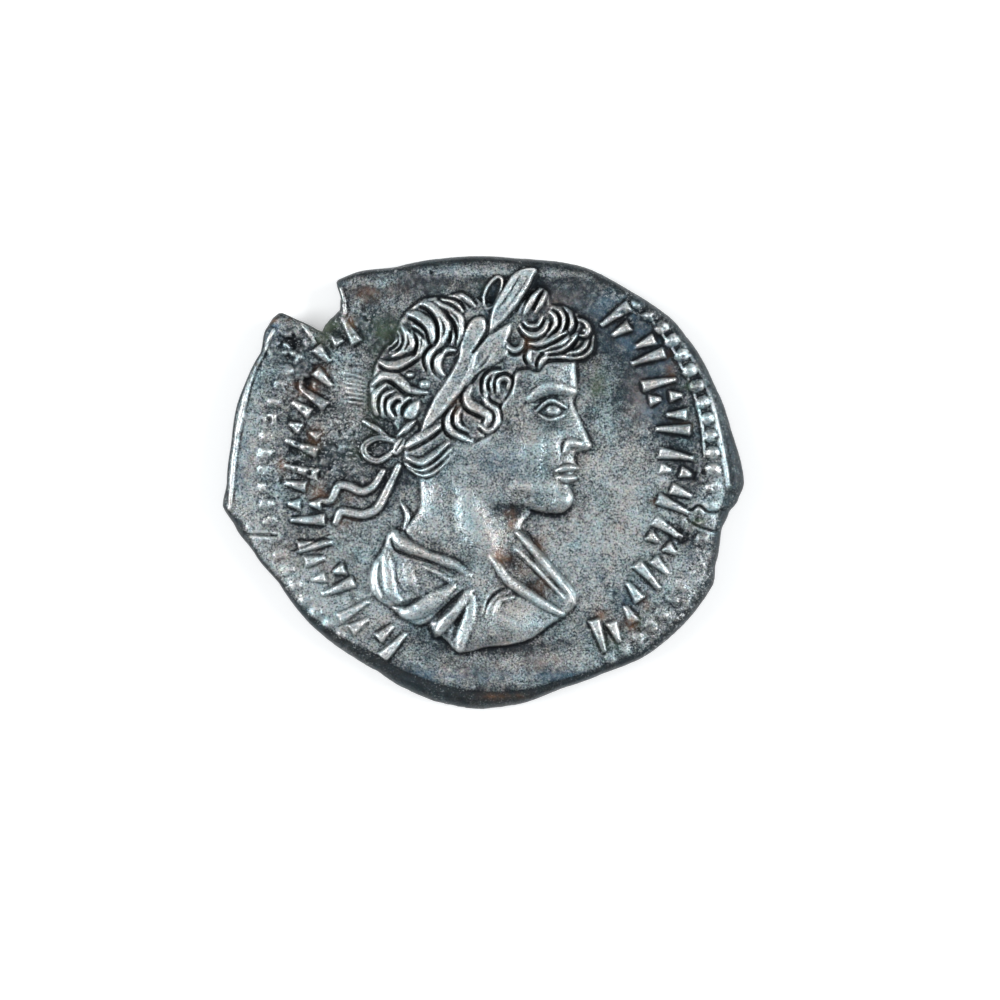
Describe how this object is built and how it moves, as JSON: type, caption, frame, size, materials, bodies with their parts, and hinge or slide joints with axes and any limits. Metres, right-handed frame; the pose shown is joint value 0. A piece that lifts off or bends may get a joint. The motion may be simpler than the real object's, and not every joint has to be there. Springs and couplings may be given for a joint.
{
  "type": "denarius coin",
  "caption": "Struck silver coin lying flat, of irregular oval outline with a split edge, a wreathed head in relief, a beaded border and rows of plain strokes for lettering.",
  "frame": {"origin": "under the middle of the coin, on the surface that its reverse lies on", "axes": "+X to the right of the portrait along the coin's long way, +Y up the portrait, +Z out of the obverse"},
  "size_m": [0.02, 0.0174, 0.0019],
  "materials": {
    "coin": "toned silver, dull grey blue with dark hollows and bright worn crests"
  },
  "bodies": {
    "root": {"coin": "coin"}
  },
  "joints": []
}
